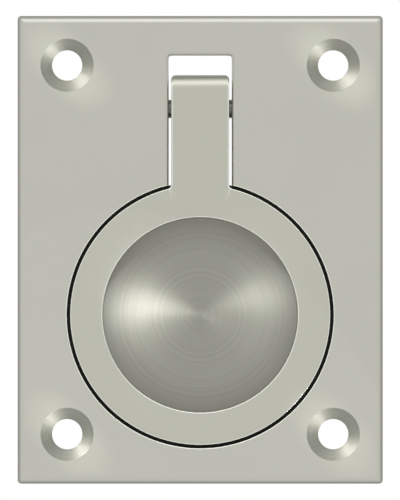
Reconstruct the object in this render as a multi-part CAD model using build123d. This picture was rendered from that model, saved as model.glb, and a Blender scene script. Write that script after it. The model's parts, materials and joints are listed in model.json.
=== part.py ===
# Recessed ring pull: a cast plate with a round cup, a flush ring on a flat tang, and a cross pin.
#
# Millimetres. X is to the right and Z is up, as seen from the front, and the front faces -Y.
# The origin is the middle of the four screw holes, in the plate's back face (Y = 0), which seats on
# the door. The plate is in front of that face, and the cup and the hinge cheeks are behind it.

import os
from math import sqrt

from build123d import *

# Plate
plate_width = 48.0
plate_height = 61.5
plate_thickness = 2.5
plate_corner_radius = 0.5
plate_edge_radius = 1.0

# Screw holes, for a No. 6 countersunk wood screw
screw_spacing_x = 35.0
screw_spacing_z = 48.5
screw_hole_diameter = 4.0
countersink_diameter = 7.0
countersink_angle = 90.0

# Pull ring and its tang
ring_outer_diameter = 34.3
ring_bore_diameter = 25.6
ring_thickness = 4.0
ring_back_taper = 0.6
ring_back_chamfer = 0.5
tang_width = 7.6
tang_above_pin = 4.43
tang_corner_radius = 0.6
tang_front_radius = 1.7
tang_heel_radius = 1.2
tang_heel_thickness = 4.0
neck_radius = 0.5
knuckle_wall = 1.25
knuckle_blend_radius = 1.5

# Hinge pin and where it stands
pin_diameter = 2.4
pin_end_chamfer = 0.25
pin_below_plate_top = 12.2
pin_above_ring_centre = 27.1
pin_behind_plate = 1.5

# Recess, slot and cup
ring_gap = 0.35
tang_gap = 0.36
slot_above_pin = 7.0
slot_corner_radius = 0.4
slot_edge_radius = 0.55
dish_under_ring = 0.8
dish_depth = 3.0
cup_wall = 1.6
cup_shoulder_chamfer = 1.4

# Hinge cheeks
cheek_thickness = 2.6
cheek_wall = 1.3

# Fits and broken edges
pin_running_clearance = 0.05
pin_seat_clearance = 0.01
edge_break = 0.15

# Places that follow from the sizes above
front_y = -plate_thickness
ring_back_y = front_y + ring_thickness
ring_radius = ring_outer_diameter / 2
bore_radius = ring_bore_diameter / 2
recess_radius = ring_radius + ring_gap
cup_radius = recess_radius + cup_wall
dish_radius = bore_radius + dish_under_ring
dish_sphere = (dish_radius ** 2 + dish_depth ** 2) / (2 * dish_depth)
pin_radius = pin_diameter / 2
eye_radius = pin_radius + pin_running_clearance
knuckle_radius = eye_radius + knuckle_wall
pin_y = pin_behind_plate
pin_z = plate_height / 2 - pin_below_plate_top
ring_z = pin_z - pin_above_ring_centre
tang_top_z = pin_z + tang_above_pin
slot_top_z = pin_z + slot_above_pin
slot_width = tang_width + 2 * tang_gap
cheek_outer_x = slot_width / 2 + cheek_thickness
shoulder_y = ring_back_y + cup_wall
cup_bottom_y = shoulder_y + dish_depth
knuckle_back_y = pin_y + knuckle_radius
cutter_overrun = 2.0


def front_plane(y):
    """A drawing plane at depth y: X right, Z up. An extrusion from it comes towards the front."""
    return Plane(origin=(0, y, 0), x_dir=(1, 0, 0), z_dir=(0, -1, 0))


def side_plane(x):
    """A drawing plane across the part at x, drawn as (Y, Z). An extrusion from it goes towards +X."""
    return Plane(origin=(x, 0, 0), x_dir=(0, 1, 0), z_dir=(1, 0, 0))


def front_solid(outline, from_y, to_y):
    """Extrudes a front outline between two depths, the first of them nearer the front."""
    return extrude(front_plane(to_y) * outline, to_y - from_y)


def turned(outline):
    """Revolves an outline drawn as (radius, Y) about the axis of the ring."""
    section = Plane(origin=(0, 0, ring_z), x_dir=(1, 0, 0), z_dir=(0, 0, 1)) * outline
    return revolve(section, Axis((0, 0, ring_z), (0, 1, 0)), 360)


def pin_bar(radius, length):
    """A round bar of this length along X, on the pin's axis."""
    return Pos(0, pin_y, pin_z) * Cylinder(radius, length, rotation=(0, 90, 0))


def cap_rim(sphere_radius, height):
    """The rim radius of a cap of this height on a sphere."""
    return sqrt(height * (2 * sphere_radius - height))


def cap(sphere_radius, height, rim_y):
    """Half the section of a spherical cap, from its rim to the axis, bulging towards the back."""
    return RadiusArc((cap_rim(sphere_radius, height), rim_y), (0, rim_y + height), -sphere_radius)


def belt(*circles):
    """The face inside a belt run counter-clockwise round circles given as (X, Y, radius).

    Each straight run is the outer tangent of two circles. A circle of no radius is a sharp corner.
    """
    runs = []
    for (ax, ay, a_radius), (bx, by, b_radius) in zip(circles, circles[1:] + circles[:1]):
        way = Vector(bx - ax, by - ay)
        along = (a_radius - b_radius) / way.length
        way = way.normalized()
        out = way * along + Vector(way.Y, -way.X) * sqrt(1 - along ** 2)
        runs.append((Vector(ax, ay) + out * a_radius, Vector(bx, by) + out * b_radius, out))
    edges = []
    for index, (x, y, radius) in enumerate(circles):
        start, end, out = runs[index]
        arrival, out_before = runs[index - 1][1:]
        if radius > 0:
            middle = Vector(x, y) + (out_before + out).normalized() * radius
            edges.append(ThreePointArc(arrival, middle, start))
        edges.append(Line(start, end))
    return make_face(edges)


def rounded_plate():
    """The plate: its front edges are rounded first, and then its four corners with their mitres."""
    slab = front_solid(Rectangle(plate_width, plate_height), front_y, 0)
    slab = fillet(slab.faces().sort_by(Axis.Y)[0].edges(), plate_edge_radius)
    inner_x = plate_width / 2 - plate_edge_radius
    inner_z = plate_height / 2 - plate_edge_radius
    corners = slab.edges().filter_by(lambda e: abs(e.center().X) > inner_x and abs(e.center().Z) > inner_z)
    return fillet(corners, plate_corner_radius)


def slot_outline():
    """The slot as seen from the front, with rounded top corners. Its foot ends inside the recess."""
    height = slot_top_z - ring_z
    outline = Pos(0, ring_z + height / 2) * Rectangle(slot_width, height)
    return fillet(outline.vertices().group_by(Axis.Y)[-1], slot_corner_radius)


def slotted(plate):
    """Cuts the slot through the plate and rounds its front edges."""
    plate = plate - front_solid(slot_outline(), front_y - cutter_overrun, cutter_overrun)
    mouth = plate.faces().sort_by(Axis.Y)[0].inner_wires()[0]
    return fillet(mouth.edges(), slot_edge_radius)


def cup_outside():
    """The cup as one turned form: a straight wall, a chamfered shoulder and a domed bottom."""
    dome_sphere = dish_sphere + cup_wall
    inside_y = front_y / 2
    wall = Polyline(
        (0, inside_y),
        (cup_radius, inside_y),
        (cup_radius, shoulder_y - cup_shoulder_chamfer),
        (cup_radius - cup_shoulder_chamfer, shoulder_y),
        (cap_rim(dome_sphere, dish_depth), shoulder_y),
    )
    dome = cap(dome_sphere, dish_depth, shoulder_y)
    return turned(make_face([wall, dome, Line((0, cup_bottom_y), (0, inside_y))]))


def recess():
    """The cutter that turns the inside: a broken front edge, the bore, the ring's ledge and the dish."""
    above_y = front_y - cutter_overrun
    wall = Polyline(
        (0, above_y),
        (recess_radius + edge_break + cutter_overrun, above_y),
        (recess_radius, front_y + edge_break),
        (recess_radius, ring_back_y),
        (dish_radius, ring_back_y),
    )
    dish = cap(dish_sphere, dish_depth, ring_back_y)
    return turned(make_face([wall, dish, Line((0, ring_back_y + dish_depth), (0, above_y))]))


def cheek():
    """One hinge cheek: a rib that is round behind the pin and slopes down its back to the cup's shoulder."""
    foot_z = ring_z + recess_radius - cup_shoulder_chamfer - cup_wall
    root_y = front_y / 2
    eye = pin_radius + cheek_wall
    outline = belt((pin_y, pin_z, eye), (root_y, pin_z + eye, 0), (root_y, foot_z, 0), (shoulder_y, foot_z, 0))
    return extrude(side_plane(slot_width / 2) * outline, cheek_thickness)


def screw_holes(plate):
    """Drills and countersinks the four holes from the front."""
    drill = CounterSinkHole(
        screw_hole_diameter / 2, countersink_diameter / 2, 2 * plate_thickness, countersink_angle
    )
    for place in GridLocations(screw_spacing_x, screw_spacing_z, 2, 2):
        plate = plate - front_plane(front_y) * place * drill
    return plate


def make_body():
    """The casting: plate, cup and cheeks fused, then the recess, the slot and the holes machined."""
    right_cheek = cheek()
    body = slotted(rounded_plate()) + cup_outside() + right_cheek + mirror(right_cheek, Plane.YZ)
    body = body - recess()
    beyond_ring = slot_outline() - Pos(0, ring_z) * Circle(recess_radius)
    body = body - front_solid(beyond_ring, front_y / 2, cup_bottom_y + cutter_overrun)
    body = body - pin_bar(pin_radius + pin_seat_clearance, 2 * cheek_outer_x + cutter_overrun)
    return screw_holes(body)


def tang_side():
    """The tang as seen from the side: a flat front, a round nose and heel, and the knuckle behind."""
    nose = (front_y + tang_front_radius, tang_top_z - tang_front_radius, tang_front_radius)
    heel_y = front_y + tang_heel_thickness - tang_heel_radius
    heel = (heel_y, tang_top_z - tang_heel_radius, tang_heel_radius)
    knuckle = (pin_y, pin_z, knuckle_radius)
    strap = Pos((front_y + ring_back_y) / 2, (pin_z + ring_z) / 2) * Rectangle(ring_thickness, pin_z - ring_z)
    outline = belt(knuckle, heel, nose, (front_y, pin_z, 0)) + strap
    hollow = outline.vertices().filter_by(lambda v: v.X > 0 and ring_z < v.Y < pin_z)
    return fillet(hollow, knuckle_blend_radius)


def tang_corners():
    """The cutter that rounds the tang's two top corners, as seen from the front."""
    square = Pos(0, tang_top_z) * Rectangle(2 * tang_width, 2 * tang_corner_radius)
    inside = Pos(0, tang_top_z - tang_width / 2) * RectangleRounded(tang_width, tang_width, tang_corner_radius)
    return front_solid(square - inside, front_y - cutter_overrun, knuckle_back_y + cutter_overrun)


def ring_blank():
    """The ring before boring. Its rim tapers towards the back, to swing out past the recess wall."""
    back_radius = ring_radius - ring_back_taper
    section = Polygon(
        (0, front_y), (ring_radius, front_y), (back_radius, ring_back_y), (0, ring_back_y), align=None
    )
    return turned(section)


def ring_bore():
    """The cutter for the ring's bore: a broken edge in front and a wider one behind, for the fingertip."""
    front_end = front_y - cutter_overrun
    back_end = ring_back_y + cutter_overrun
    section = Polygon(
        (0, front_end),
        (bore_radius + edge_break + cutter_overrun, front_end),
        (bore_radius, front_y + edge_break),
        (bore_radius, ring_back_y - ring_back_chamfer),
        (bore_radius + ring_back_chamfer + cutter_overrun, back_end),
        (0, back_end),
        align=None,
    )
    return turned(section)


def make_pull_ring():
    """The ring and tang: one casting, blended at the neck, bored and drilled.

    Its outer edges run on into one another, so breaking the front ones breaks the back ones too.
    """
    tang = extrude(side_plane(-tang_width / 2) * tang_side(), tang_width)
    pull = ring_blank() + tang
    neck = pull.edges().filter_by(
        lambda e: abs(abs(e.center().X) - tang_width / 2) < edge_break
        and front_y < e.center().Y < ring_back_y
        and abs(e.center().Z - ring_z) < ring_radius
    )
    pull = fillet(neck, neck_radius)
    pull = chamfer(pull.faces().sort_by(Axis.Y)[0].outer_wire().edges(), edge_break)
    return pull - tang_corners() - ring_bore() - pin_bar(eye_radius, 2 * tang_width)


def make_hinge_pin():
    """The pin: as long as the cheeks are wide over all, with chamfered ends."""
    pin = pin_bar(pin_radius, 2 * cheek_outer_x)
    return chamfer(pin.edges().filter_by(GeomType.CIRCLE), pin_end_chamfer)


os.makedirs("parts", exist_ok=True)
export_step(make_body(), "parts/body.step")
export_step(make_pull_ring(), "parts/pull_ring.step")
export_step(make_hinge_pin(), "parts/hinge_pin.step")
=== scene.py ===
# Recessed ring pull in satin nickel: a cast plate with a round dished recess, a ring that lies
# flush in it on a flat tang, and a cross pin. Metres, with the front facing -Y and +Z up.
import json
from math import radians

import bmesh
import bpy
import numpy as np
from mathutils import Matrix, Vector


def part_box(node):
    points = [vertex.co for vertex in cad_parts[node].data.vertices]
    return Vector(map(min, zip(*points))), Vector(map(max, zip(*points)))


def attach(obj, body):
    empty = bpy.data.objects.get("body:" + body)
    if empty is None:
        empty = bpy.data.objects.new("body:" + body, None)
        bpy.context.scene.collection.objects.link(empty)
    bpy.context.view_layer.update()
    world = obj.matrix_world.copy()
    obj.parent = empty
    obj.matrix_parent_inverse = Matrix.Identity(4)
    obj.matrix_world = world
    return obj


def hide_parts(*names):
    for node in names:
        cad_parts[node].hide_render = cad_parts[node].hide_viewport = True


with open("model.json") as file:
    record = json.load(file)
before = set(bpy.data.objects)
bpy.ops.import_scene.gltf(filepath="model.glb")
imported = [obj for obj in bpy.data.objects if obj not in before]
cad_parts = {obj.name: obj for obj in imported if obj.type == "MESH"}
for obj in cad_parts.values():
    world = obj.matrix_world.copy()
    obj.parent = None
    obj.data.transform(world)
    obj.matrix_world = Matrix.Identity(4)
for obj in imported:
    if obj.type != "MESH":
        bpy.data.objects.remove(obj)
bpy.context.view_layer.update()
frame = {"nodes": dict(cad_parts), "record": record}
mm = 0.001
print("frame loaded:", ", ".join(sorted(frame["nodes"])))

plateLow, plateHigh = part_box("body")
ringLow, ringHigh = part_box("pull_ring")
ringAxis = Vector((0, 0, ringLow.z + (ringHigh.x - ringLow.x) / 2))
screwMount = next(m for m in frame["record"]["mounts"] if m["name"] == "screw_holes")
screwAside = screwMount["dims"]["spacing_x_mm"] * mm / 2
screwAbove = screwMount["dims"]["spacing_y_mm"] * mm / 2
screwPlaces = [Vector((x * screwAside, 0, z * screwAbove)) for x in (-1, 1) for z in (-1, 1)]


# Shader graphs
class Graph:
    # A material's or world's nodes, with short ways to add and join them.
    def __init__(self, owner):
        owner.use_nodes = True
        self.tree = owner.node_tree
        self.tree.nodes.clear()

    def add(self, kind, settings=(), **inputs):
        node = self.tree.nodes.new("ShaderNode" + kind)
        for name, value in dict(settings).items():
            setattr(node, name, value)
        for name, value in inputs.items():
            self.feed(node.inputs[name.replace("_", " ")], value)
        return node

    def feed(self, socket, value):
        if isinstance(value, bpy.types.NodeSocket):
            self.tree.links.new(value, socket)
        else:
            socket.default_value = value

    def math(self, operation, *values):
        node = self.add("Math", {"operation": operation})
        for socket, value in zip(node.inputs, values):
            self.feed(socket, value)
        return node.outputs[0]

    def vector(self, operation, *values):
        node = self.add("VectorMath", {"operation": operation})
        for socket, value in zip(node.inputs, values):
            self.feed(socket, value)
        return node.outputs["Value" if operation in ("LENGTH", "DOT_PRODUCT") else "Vector"]

    def range(self, value, fromLow, fromHigh, toLow, toHigh):
        node = self.add("MapRange", {"interpolation_type": "SMOOTHSTEP"}, Value=value)
        limits = {"From Min": fromLow, "From Max": fromHigh, "To Min": toLow, "To Max": toHigh}
        for name, limit in limits.items():
            node.inputs[name].default_value = limit
        return node.outputs["Result"]

    def mixColour(self, factor, first, second):
        node = self.add("Mix", {"data_type": "RGBA"})
        for index, value in ((0, factor), (6, first), (7, second)):
            self.feed(node.inputs[index], value)
        return node.outputs[2]

    def noise(self, place, scale, detail=2.0, roughness=0.5):
        node = self.add("TexNoise", Vector=place, Scale=scale, Detail=detail, Roughness=roughness)
        return node.outputs[0]

    def metal(self, colour, roughness, bump, **more):
        # A bare metal surface, with more of the shader's inputs where it needs them.
        surface = {"Base_Color": colour, "Roughness": roughness, "Normal": bump.outputs[0], **more}
        return self.add("BsdfPrincipled", Metallic=1.0, **surface)

    def finish(self, shader, kind="OutputMaterial"):
        # Makes the shader what the material or world shows.
        self.feed(self.add(kind).inputs["Surface"], shader.outputs[0])


def linear(red, green, blue):
    # A colour as it looks on the screen, 0 to 255, to the linear values that a shader takes.
    values = [c / 255 for c in (red, green, blue)]
    return tuple(c / 12.92 if c < 0.04045 else ((c + 0.055) / 1.055) ** 2.4 for c in values) + (1.0,)


def shaded(colour, shade):
    # The same colour, darker by the shade.
    return tuple(c * shade for c in colour[:3]) + (1.0,)


# Finishes
satin = {
    "plateColour": linear(192, 192, 182),
    "ringColour": linear(190, 190, 179),
    # Broken edges: buffed bright, and lighter still as a painted highlight.
    "edgeHighlightColour": linear(250, 250, 241),
    # Lighter on the slot's top edge and the ring's rolled nose: painted light, against the shade that falls
    # there.
    "paintedLightColour": linear(214, 214, 204),
    "roughness": 0.38,
    "roughnessSpread": 0.02,
    "grainScale": 9000,
    "grainDetail": 3.0,
    "grainRoughness": 0.6,
    "grainDepth": 0.0012 * mm,
    "patchScale": 90,
    "patchDetail": 3.0,
    "patchRoughness": 0.55,
    "patchShade": 0.985,
    "toneBand": (0.35, 0.65),
    "glossBand": (0.3, 0.7),
}


def satinNickel(name, colour):
    # Bead-blasted and plated: an even grain too fine to see, and a faint unevenness in tone and gloss.
    material = bpy.data.materials.new(name)
    graph = Graph(material)
    place = graph.add("TexCoord").outputs["Object"]
    grain = graph.noise(place, satin["grainScale"], satin["grainDetail"], satin["grainRoughness"])
    patches = graph.noise(place, satin["patchScale"], satin["patchDetail"], satin["patchRoughness"])
    bump = graph.add("Bump", Strength=1.0, Distance=satin["grainDepth"], Height=grain)
    darker = shaded(colour, satin["patchShade"])
    tone = graph.mixColour(graph.range(patches, *satin["toneBand"], 0.0, 1.0), darker, colour)
    glossy = satin["roughness"] - satin["roughnessSpread"]
    dull = satin["roughness"] + satin["roughnessSpread"]
    gloss = graph.range(patches, *satin["glossBand"], glossy, dull)
    graph.finish(graph.metal(tone, gloss, bump))
    return material


# The tool's grooves, in the material of every turned face
grooves = {"scale": 2600, "detail": 3.0, "depth": 0.008 * mm, "toneBand": (0.3, 0.7)}

# The dish is darker towards its rim: painted shade, as under the ring's wall.
dishFinish = {
    "innerColour": linear(170, 170, 160),
    "outerColour": linear(152, 152, 143),
    "fadeFrom": 7.5 * mm,
    "fadeTo": 13.6 * mm,
    "turn": 0.0,
    "roughness": 0.49,
    "grooveShade": 0.93,
    "anisotropy": 0.86,
    "flatness": 0.8,
}

countersinkFinish = {
    "innerColour": linear(168, 168, 158),
    "outerColour": linear(168, 168, 158),
    "fadeFrom": 2.0 * mm,
    "fadeTo": 3.5 * mm,
    "turn": 0.25,
    "roughness": 0.52,
    "grooveShade": 0.92,
    "anisotropy": 0.70,
    "flatness": 0.0,
}

# The ledge is turned bright. Its corner and the wall outside it are painted dark: painted shade for the
# deep gap round the ring.
recessFinish = {
    "innerColour": linear(172, 172, 162),
    "outerColour": linear(62, 62, 58),
    "fadeFrom": 16.2 * mm,
    "fadeTo": 16.9 * mm,
    "turn": 0.0,
    "roughness": 0.42,
    "grooveShade": 0.95,
    "anisotropy": 0.3,
    "flatness": 0.0,
}


def turnedNickel(name, centre, finish):
    # Turned on a lathe: grooves run round the centre, so the gloss is drawn out along or across them, by
    # the turn. The flats of the grooves lean less than the surface does, by the flatness.
    material = bpy.data.materials.new(name)
    graph = Graph(material)
    place = graph.add("TexCoord").outputs["Object"]
    spoke = graph.vector("MULTIPLY", graph.vector("SUBTRACT", place, tuple(centre)), (1, 0, 1))
    radius = graph.vector("LENGTH", spoke)
    oneWay = {"noise_dimensions": "1D"}
    rings = graph.add("TexNoise", oneWay, W=radius, Scale=grooves["scale"], Detail=grooves["detail"])
    height = rings.outputs[0]
    alongGroove = graph.vector("NORMALIZE", graph.vector("CROSS_PRODUCT", spoke, (0, 1, 0)))
    transform = {"vector_type": "VECTOR", "convert_from": "OBJECT", "convert_to": "WORLD"}
    tangent = graph.add("VectorTransform", transform, Vector=alongGroove).outputs[0]
    facing = graph.add("VectorTransform", transform, Vector=(0, -1, 0)).outputs[0]
    leaning = graph.add("NewGeometry").outputs["Normal"]
    flats = graph.vector(
        "ADD",
        graph.vector("MULTIPLY", leaning, (1 - finish["flatness"],) * 3),
        graph.vector("MULTIPLY", facing, (finish["flatness"],) * 3),
    )
    flats = graph.vector("NORMALIZE", flats)
    bump = graph.add("Bump", Strength=1.0, Distance=grooves["depth"], Height=height, Normal=flats)
    # From the inner to the outer colour by radius. In the dish and the recess the darker outer colour is
    # painted shade.
    outward = graph.range(radius, finish["fadeFrom"], finish["fadeTo"], 0.0, 1.0)
    tone = graph.mixColour(outward, finish["innerColour"], finish["outerColour"])
    darker = graph.vector("MULTIPLY", tone, (finish["grooveShade"],) * 3)
    tone = graph.mixColour(graph.range(height, *grooves["toneBand"], 0.0, 1.0), darker, tone)
    brushed = {
        "Anisotropic": finish["anisotropy"],
        "Anisotropic_Rotation": finish["turn"],
        "Tangent": tangent,
    }
    graph.finish(graph.metal(tone, finish["roughness"], bump, **brushed))
    return material


drawn = {
    # Darker than bright drawn steel: partly the steel's own tone, partly painted shade for the narrow gap
    # the pin sits in.
    "colour": linear(140, 140, 135),
    "roughness": 0.3,
    "lineScale": 5000,
    "lineStretch": (0.04, 1, 1),
    "lineDepth": 0.002 * mm,
    "lineShade": 0.8,
}


def drawnSteel(name):
    # Drawn rod: fine lines along the pin.
    material = bpy.data.materials.new(name)
    graph = Graph(material)
    place = graph.add("TexCoord").outputs["Object"]
    stretched = graph.vector("MULTIPLY", place, drawn["lineStretch"])
    lines = graph.noise(stretched, drawn["lineScale"])
    bump = graph.add("Bump", Strength=1.0, Distance=drawn["lineDepth"], Height=lines)
    tone = graph.mixColour(lines, shaded(drawn["colour"], drawn["lineShade"]), drawn["colour"])
    graph.finish(graph.metal(tone, drawn["roughness"], bump))
    return material


# Meshes
smoothing = {"sharpAngle": radians(20), "mergeDistance": 0.0001 * mm}

# How a face leans, by its normal's Y: at -1 it faces the front, and at 0 it is edge on to it.
lean = {"nearlyFlat": -0.9, "halfway": -0.7, "steep": -0.5}


def linked(name, data):
    # An object in the scene's own collection.
    thing = bpy.data.objects.new(name, data)
    bpy.context.scene.collection.objects.link(thing)
    return thing


def finishPiece(piece, materials, broken=()):
    # Smooth where faces run on into each other, flat where they are flat, and sharp at the machined edges.
    # Broken edges stay smooth on both sides: they are given by their materials' numbers.
    for material in materials:
        piece.data.materials.append(material)
    mesh = piece.data
    mesh.shade_smooth()
    mesh.set_sharp_from_angle(angle=smoothing["sharpAngle"])
    if broken:
        number = np.empty(len(mesh.polygons), np.int32)
        sides = np.empty(len(mesh.polygons), np.int32)
        edgeOfCorner = np.empty(len(mesh.loops), np.int32)
        sharp = np.empty(len(mesh.edges), bool)
        mesh.polygons.foreach_get("material_index", number)
        mesh.polygons.foreach_get("loop_total", sides)
        mesh.loops.foreach_get("edge_index", edgeOfCorner)
        mesh.edges.foreach_get("use_edge_sharp", sharp)
        sharp[edgeOfCorner[np.repeat(np.isin(number, broken), sides)]] = False
        mesh.edges.foreach_set("use_edge_sharp", sharp)
    weighted = piece.modifiers.new("flat_faces_stay_flat", "WEIGHTED_NORMAL")
    weighted.keep_sharp = True


def mergedCopy(node, name):
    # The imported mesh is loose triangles: this joins them in a copy, which then stands for the node. The
    # copy drops the normals that came with the triangles, so that its own are worked out afresh.
    mesh = frame["nodes"][node].data.copy()
    mesh.name = name
    mesh.materials.clear()
    packedNormals = mesh.attributes.get("custom_normal")
    if packedNormals:
        mesh.attributes.remove(packedNormals)
    form = bmesh.new()
    form.from_mesh(mesh)
    bmesh.ops.remove_doubles(form, verts=form.verts, dist=smoothing["mergeDistance"])
    form.to_mesh(mesh)
    form.free()
    return linked(name, mesh)


def faceTable(mesh):
    # Every face's centre and normal, as arrays.
    centres = np.empty(len(mesh.polygons) * 3)
    normals = np.empty(len(mesh.polygons) * 3)
    mesh.polygons.foreach_get("center", centres)
    mesh.polygons.foreach_get("normal", normals)
    return centres.reshape(-1, 3), normals.reshape(-1, 3)


def fromAxis(points, centre):
    # Distance from a line along Y through the centre.
    return np.hypot(points[:, 0] - centre.x, points[:, 2] - centre.z)


def slanted(normals):
    # The faces that slant towards the front: broken edges and the walls of countersinks.
    return (normals[:, 1] > lean["nearlyFlat"]) & (normals[:, 1] < lean["steep"])


# Plate and cup
plate = {
    "dishRadius": 13.6 * mm,
    "ledgeDepth": 1.5 * mm,
    "countersinkRadius": 3.5 * mm,
    "countersinkMiddle": 2.75 * mm,
    "wallDepth": 0.75 * mm,
    "recessRadius": 17.5 * mm,
    "edgeBand": 0.2 * mm,
    "slotHalfWidth": 4.16 * mm,
    "slotTop": 25.55 * mm,
    "bottomRadius": 1.0 * mm,
    "dishRings": 250,
    "spokesPerSide": 2,
}

# Grooves turned into the dish. A wave is its height, how fast it runs from groove to groove, and its start.
turned = {
    "pitch": 0.52 * mm,
    "height": 0.006 * mm,
    "wander": ((0.55, 0.83, 0.0), (0.35, 0.31, 1.7)),
    "wanderShare": 0.5,
    "evenShare": 0.65,
    "swell": (0.35, 1.27, 0.4),
    "fineHeight": 0.003 * mm,
    "fineRate": 2.15,
    "fadeTurns": 2,
    "lineRadius": 10.35 * mm,
    "lineWidth": 0.09 * mm,
    "lineDepth": 0.022 * mm,
}

# The numbers of the plate's materials. Its face, which is the rest of it, has 0.
zones = {"dish": 1, "lip": 2, "firstCountersink": 3, "recess": 7, "slotSide": 8, "slotTop": 9}


def cutOutDish(piece, inDish):
    # Takes the plain dish out of the copy, and gives the corners of the rim that it leaves, by their angle.
    form = bmesh.new()
    form.from_mesh(piece.data)
    form.faces.ensure_lookup_table()
    bmesh.ops.delete(form, geom=[form.faces[i] for i in np.flatnonzero(inDish)], context="FACES")
    rim = np.array([v.co for v in form.verts if v.is_boundary])
    form.to_mesh(piece.data)
    form.free()
    angle = np.arctan2(rim[:, 2] - ringAxis.z, rim[:, 0] - ringAxis.x)
    order = np.argsort(angle)
    return rim[order], angle[order]


def wave(turns, height, rate, start):
    # A sine of the turns, at a rate and from a start, times its height.
    return height * np.sin(rate * turns + start)


def turnedDepth(radius, rimY, depth):
    # How far back the dish lies at a radius: a ball, plus two trains of grooves whose pitch wanders,
    # plus one deeper line that the tool left. The grooves die out at the rim and at the centre.
    rim = plate["dishRadius"]
    ball = (rim**2 + depth**2) / (2 * depth)
    bowl = rimY + depth - ball + np.sqrt(ball**2 - radius**2)
    turns = radius / turned["pitch"]
    wander = sum(wave(turns, *each) for each in turned["wander"])
    coarse = turned["height"] * np.sin(2 * np.pi * (turns + turned["wanderShare"] * wander))
    coarse *= turned["evenShare"] + wave(turns, *turned["swell"])
    fine = turned["fineHeight"] * np.sin(2 * np.pi * (turned["fineRate"] * turns + wander))
    fade = np.clip((rim - radius) / (turned["fadeTurns"] * turned["pitch"]), 0, 1)
    fade *= np.clip(turns, 0, 1)
    line = np.exp(-(((radius - turned["lineRadius"]) / turned["lineWidth"]) ** 2))
    return bowl + fade * (coarse + fine) + turned["lineDepth"] * line


def makeDish(rim, rimAngle, depth):
    # Rings and spokes about the ring's axis. The spokes divide each straight side of the rim evenly, and
    # the last faces take in that side whole, so that the dish closes on the rim.
    sides = len(rim)
    spokes = sides * plate["spokesPerSide"]
    closed = np.append(rimAngle, rimAngle[0] + 2 * np.pi)
    angle = np.interp(np.arange(spokes) / plate["spokesPerSide"], np.arange(sides + 1), closed)
    radius = np.linspace(0, plate["dishRadius"], plate["dishRings"] + 2)[1:-1]
    r, a = np.meshgrid(radius, angle, indexing="ij")
    y = turnedDepth(r, rim[:, 1].mean(), depth)
    grid = np.stack([ringAxis.x + r * np.cos(a), y, ringAxis.z + r * np.sin(a)], -1).reshape(-1, 3)
    pole = [[ringAxis.x, turnedDepth(0.0, rim[:, 1].mean(), depth), ringAxis.z]]
    points = np.concatenate([pole, grid, rim])
    here = np.arange(spokes)
    after = (here + 1) % spokes
    fan = np.stack([np.zeros(spokes, int), 1 + here, 1 + after], -1)
    inner = 1 + spokes * np.arange(plate["dishRings"] - 1)[:, None]
    outer = inner + spokes
    quads = np.stack([inner + here, outer + here, outer + after, inner + after], -1).reshape(-1, 4)
    lastRing = 1 + spokes * (plate["dishRings"] - 1)
    corner = 1 + spokes * plate["dishRings"] + np.arange(sides)
    nextCorner = 1 + spokes * plate["dishRings"] + (np.arange(sides) + 1) % sides
    alongSide = np.arange(plate["spokesPerSide"] + 1)
    onRing = (np.arange(sides)[:, None] + 1) * plate["spokesPerSide"] - alongSide
    closing = np.concatenate([corner[:, None], nextCorner[:, None], lastRing + onRing % spokes], -1)
    mesh = bpy.data.meshes.new("turned_dish")
    mesh.from_pydata(points.tolist(), [], fan.tolist() + quads.tolist() + closing.tolist())
    return mesh


def plateZones(centres, normals, inDish):
    # The number of every face's material, by where the face lies and how it leans.
    away = fromAxis(centres, ringAxis)
    across, back, up = centres.T
    band = plate["edgeBand"]
    zone = np.zeros(len(centres), np.int32)
    for number, place in enumerate(screwPlaces):
        inHole = fromAxis(centres, place) < plate["countersinkRadius"]
        zone[inHole & slanted(normals)] = zones["firstCountersink"] + number
    zone[(np.abs(away - plate["recessRadius"]) < band) & slanted(normals)] = zones["lip"]
    inRecess = (away < plate["recessRadius"] + band) & ~inDish
    inRecess &= (back > plateLow.y + band) & (back < plate["ledgeDepth"] + band)
    zone[inRecess] = zones["recess"]
    inSlot = (np.abs(across) < plate["slotHalfWidth"] + band) & (up < plate["slotTop"] + band)
    inSlot &= (up > ringAxis.z + plate["recessRadius"]) & (back < 0)
    inSlot &= normals[:, 1] > lean["halfway"]
    facesAside = np.abs(normals[:, 0]) > np.abs(normals[:, 2])
    zone[inSlot & facesAside] = zones["slotSide"]
    zone[inSlot & ~facesAside] = zones["slotTop"]
    return zone


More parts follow.
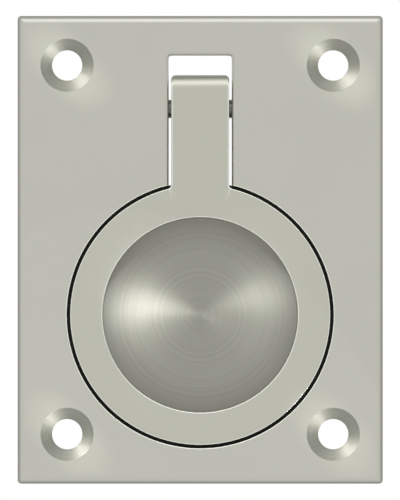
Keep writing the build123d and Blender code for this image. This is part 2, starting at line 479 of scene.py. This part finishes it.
def makePlate():
    piece = mergedCopy("body", "plate_and_cup")
    centres, normals = faceTable(piece.data)
    inDish = (fromAxis(centres, ringAxis) < plate["dishRadius"]) & (centres[:, 1] > plate["ledgeDepth"])
    inDish &= normals[:, 1] < lean["steep"]
    corners = np.empty(len(piece.data.vertices) * 3)
    piece.data.vertices.foreach_get("co", corners)
    corners = corners.reshape(-1, 3)
    bottom = corners[fromAxis(corners, ringAxis) < plate["bottomRadius"], 1].min()
    piece.data.polygons.foreach_set("material_index", plateZones(centres, normals, inDish))
    rim, rimAngle = cutOutDish(piece, inDish)
    dishMesh = makeDish(rim, rimAngle, bottom - rim[:, 1].mean())
    dishZone = np.full(len(dishMesh.polygons), zones["dish"], np.int32)
    dishMesh.polygons.foreach_set("material_index", dishZone)
    form = bmesh.new()
    form.from_mesh(piece.data)
    form.from_mesh(dishMesh)
    bmesh.ops.remove_doubles(form, verts=form.verts, dist=smoothing["mergeDistance"])
    print("open edges left in the plate:", sum(not e.is_manifold for e in form.edges))
    form.to_mesh(piece.data)
    form.free()
    dish = turnedNickel("turned_dish", ringAxis, dishFinish)
    countersinks = [
        turnedNickel(f"turned_countersink_{number + 1}", place, countersinkFinish)
        for number, place in enumerate(screwPlaces)
    ]
    recess = turnedNickel("turned_recess", ringAxis, recessFinish)
    face = satinNickel("satin_nickel_plate", satin["plateColour"])
    # The lips and the slot's sides are lighter than the face: partly buffed metal, partly a painted
    # highlight.
    lip = satinNickel("buffed_edge_highlight_plate", satin["edgeHighlightColour"])
    # The slot's top edge is lighter than the face: painted light, against the shade that falls there.
    paintedLightEdge = satinNickel("painted_light_edge_plate", satin["paintedLightColour"])
    finishPiece(piece, [face, dish, lip] + countersinks + [recess, lip, paintedLightEdge], broken=(zones["lip"],))
    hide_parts("body")
    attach(piece, "base")


# Ring. Its broken edges stop below the top of the tang, where the rolled nose takes over.
pull = {"noseRadius": 1.7 * mm, "edgesStop": 1.0 * mm, "noseLean": 0.5}

pullZones = {"edge": 1, "nose": 2}


def makePull():
    piece = mergedCopy("pull_ring", "ring_and_tang")
    centres, normals = faceTable(piece.data)
    back, up = centres[:, 1], centres[:, 2]
    atEdge = (back < ringLow.y + plate["edgeBand"]) & slanted(normals)
    atEdge &= up < ringHigh.z - pull["edgesStop"]
    onNose = (up > ringHigh.z - pull["noseRadius"]) & (back < ringLow.y + pull["noseRadius"])
    onNose &= (normals[:, 1] > lean["halfway"]) & (normals[:, 2] > pull["noseLean"])
    zone = np.select([atEdge, onNose], [pullZones["edge"], pullZones["nose"]], 0).astype(np.int32)
    piece.data.polygons.foreach_set("material_index", zone)
    face = satinNickel("satin_nickel_ring", satin["ringColour"])
    # The ring's broken edges are lighter than its face: partly buffed metal, partly a painted highlight.
    edge = satinNickel("buffed_edge_highlight_ring", satin["edgeHighlightColour"])
    # The rolled nose is lighter than the face: painted light, against the shade that falls on its top.
    nose = satinNickel("painted_light_nose_ring", satin["paintedLightColour"])
    finishPiece(piece, [face, edge, nose], broken=(pullZones["edge"],))
    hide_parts("pull_ring")
    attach(piece, "ring")


# Pin
def makePin():
    piece = mergedCopy("hinge_pin", "cross_pin")
    finishPiece(piece, [drawnSteel("drawn_steel")])
    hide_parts("hinge_pin")
    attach(piece, "base")


# Camera. The plate's height in pixels and its centre's place set how the plate fills the frame.
view = {
    "frameWidth": 400,
    "frameHeight": 500,
    "plateHeight": 467.7,
    "centrePixel": (200.2, 249.83),
    "edgeDepth": 1.0 * mm,
    "lens": 1000,
    "sensor": 36,
}


def makeCamera():
    # Square on, from far enough for hardly any perspective, with the plate as large as in the photo.
    data = bpy.data.cameras.new("camera")
    data.lens = view["lens"]
    data.sensor_width = view["sensor"]
    pixel = (plateHigh.z - plateLow.z) / view["plateHeight"]
    distance = view["lens"] / view["sensor"] * view["frameHeight"] * pixel
    aside = (view["frameWidth"] / 2 - view["centrePixel"][0]) * pixel
    below = (view["centrePixel"][1] - view["frameHeight"] / 2) * pixel
    camera = linked("camera", data)
    camera.location = (aside, plateLow.y + view["edgeDepth"] - distance, below)
    camera.rotation_euler = (radians(90), 0, 0)
    bpy.context.scene.camera = camera


# Light
light = {
    "softElevation": radians(50),
    "softDistance": 0.9,
    "softWidth": 0.9,
    "softHeight": 0.6,
    "softPower": 1.45,
    "snootRadius": 0.003,
    "snootBlend": 1.0,
    "fanDistance": 0.6,
    "fanCone": radians(1.25),
    "leftFanPlace": ringAxis + Vector((-7.4 * mm, 3 * mm, 1.0 * mm)),
    "leftFanFrom": Vector((0.17, -0.85, 0.50)),
    "leftFanPower": 7.2,
    "rightFanPlace": ringAxis + Vector((7.8 * mm, 3 * mm, 2.3 * mm)),
    "rightFanFrom": Vector((-0.26, -0.83, 0.49)),
    "rightFanPower": 3.5,
    "centreFanPlace": ringAxis + Vector((0, 3 * mm, 0)),
    "centreFanDistance": 0.2,
    "centreFanCone": radians(1),
    "centreFanPower": 0.45,
    "holeDistance": 0.22,
    "holeCone": radians(1),
    "highHolePower": 6.7,
    "lowHolePower": 8.2,
}


def aimed(name, data, place, direction, distance):
    # A lamp that looks at a place from a direction.
    lamp = linked(name, data)
    away = direction.normalized()
    lamp.location = place + away * distance
    lamp.rotation_euler = away.to_track_quat("Z", "Y").to_euler()
    lamp.visible_camera = False


def makeSoftBox():
    # One wide soft box, in front and above, for the rolled edges that face up.
    data = bpy.data.lights.new("soft_box", "AREA")
    data.shape = "RECTANGLE"
    data.size = light["softWidth"]
    data.size_y = light["softHeight"]
    data.energy = light["softPower"]
    up = light["softElevation"]
    direction = Vector((0, -np.cos(up), np.sin(up)))
    aimed("soft_box", data, Vector((0, 0, 0)), direction, light["softDistance"])


def snooted(name, place, direction, distance, cone, power):
    # A small lamp through a snoot, which lights one spot of the turned metal and draws a fan out there.
    data = bpy.data.lights.new(name, "SPOT")
    data.spot_size = cone
    data.spot_blend = light["snootBlend"]
    data.shadow_soft_size = light["snootRadius"]
    data.energy = power
    aimed(name, data, place, direction, distance)


def makeFanLamp(side):
    # Draws the dish's fan of light on that side.
    place = light[side + "FanPlace"]
    direction = light[side + "FanFrom"]
    power = light[side + "FanPower"]
    snooted(side + "_fan_lamp", place, direction, light["fanDistance"], light["fanCone"], power)


def makeCentreLamp():
    # Carries the left fan on across the middle of the dish.
    place, cone = light["centreFanPlace"], light["centreFanCone"]
    reach, power = light["centreFanDistance"], light["centreFanPower"]
    snooted("centre_fan_lamp", place, light["leftFanFrom"], reach, cone, power)


def makeHoleLamps():
    # Two for each countersink, square on to the upper left and the lower right of its wall.
    for number, hole in enumerate(screwPlaces):
        for side, outward in (("high", Vector((-1, 0, 1))), ("low", Vector((1, 0, -1)))):
            outward = outward.normalized()
            inWall = Vector((0, plateLow.y + plate["wallDepth"], 0))
            wall = hole + outward * plate["countersinkMiddle"] + inWall
            square = Vector((0, -1, 0)) - outward
            name = f"hole_{number + 1}_{side}_lamp"
            snooted(name, wall, square, light["holeDistance"], light["holeCone"], light[side + "HolePower"])


def makeWorld():
    # An even white room, which the camera and the metal both see.
    world = bpy.data.worlds.new("white_studio")
    bpy.context.scene.world = world
    graph = Graph(world)
    graph.finish(graph.add("Background", Color=(1, 1, 1, 1), Strength=1.0), "OutputWorld")


tent = {
    "radius": 1.4,
    "opening": radians(60),
    "closing": np.pi * 0.999,
    "fadeFrom": 0.3,
    "fadeTo": -0.3,
    "shade": 0.5,
    "rings": 24,
    "spokes": 64,
}


def tentShade(graph):
    # White to the front of the part, grey behind it.
    place = graph.add("TexCoord").outputs["Object"]
    forward = graph.vector("DOT_PRODUCT", graph.vector("NORMALIZE", place), (0, -1, 0))
    return graph.range(forward, tent["fadeTo"], tent["fadeFrom"], tent["shade"], 1.0)


def makeTent():
    # A grey half dome behind, which only the metal sees: it draws the edges that turn away darker.
    # A point of it lies at an angle from the front, at an angle round the line of view, on a ball.
    away, around = np.meshgrid(
        np.linspace(tent["opening"], tent["closing"], tent["rings"]),
        np.linspace(0, 2 * np.pi, tent["spokes"] + 1),
        indexing="ij",
    )
    ball = np.stack([np.sin(away) * np.cos(around), -np.cos(away), np.sin(away) * np.sin(around)], -1)
    points = (tent["radius"] * ball).reshape(-1, 3)
    row, column = np.meshgrid(np.arange(tent["rings"] - 1), np.arange(tent["spokes"]), indexing="ij")
    first = (row * (tent["spokes"] + 1) + column).ravel()
    quads = np.stack([first, first + 1, first + tent["spokes"] + 2, first + tent["spokes"] + 1], -1)
    mesh = bpy.data.meshes.new("grey_tent")
    mesh.from_pydata(points.tolist(), [], quads.tolist())
    material = bpy.data.materials.new("grey_tent")
    graph = Graph(material)
    graph.finish(graph.add("Emission", Color=(1, 1, 1, 1), Strength=tentShade(graph)))
    mesh.materials.append(material)
    piece = linked("grey_tent", mesh)
    for ray in ("camera", "diffuse", "transmission", "volume_scatter", "shadow"):
        setattr(piece, "visible_" + ray, False)


floor = {"drop": 150 * mm, "halfSize": 3.0, "colour": (0.8, 0.8, 0.8, 1), "glow": 0.21}


def makeFloor():
    # A pale floor well below the plate, white to the camera apart from the plate's shadow.
    half = floor["halfSize"]
    level = plateLow.z - floor["drop"]
    mesh = bpy.data.meshes.new("floor")
    corners = [(-half, -half, level), (half, -half, level), (half, half, level), (-half, half, level)]
    mesh.from_pydata(corners, [], [(0, 1, 2, 3)])
    material = bpy.data.materials.new("pale_floor")
    graph = Graph(material)
    # The glow lifts the floor to the room's white for what the camera sees, and keeps its shadow. The
    # metal sees it white in front and grey behind, as it sees the tent.
    path = graph.add("LightPath").outputs
    seen = graph.math("MAXIMUM", path["Is Camera Ray"], path["Is Transmission Ray"])
    matt = graph.add("BsdfDiffuse", Color=floor["colour"])
    glow = graph.add("Emission", Color=(1, 1, 1, 1), Strength=graph.math("MULTIPLY", seen, floor["glow"]))
    both = graph.add("AddShader")
    graph.feed(both.inputs[0], matt.outputs[0])
    graph.feed(both.inputs[1], glow.outputs[0])
    toMetal = graph.add("Emission", Color=(1, 1, 1, 1), Strength=tentShade(graph))
    either = graph.add("MixShader")
    for socket, value in zip(either.inputs, (path["Is Glossy Ray"], both.outputs[0], toMetal.outputs[0])):
        graph.feed(socket, value)
    graph.finish(either)
    mesh.materials.append(material)
    piece = linked("floor", mesh)


makePlate()
print("plate and cup made")
makePull()
print("ring and tang made")
makePin()
print("pin made")
makeCamera()
makeSoftBox()
makeFanLamp("left")
makeFanLamp("right")
makeCentreLamp()
makeHoleLamps()
makeWorld()
makeTent()
makeFloor()
bpy.context.scene.view_settings.view_transform = "Standard"
print("camera, lamps and floor made")
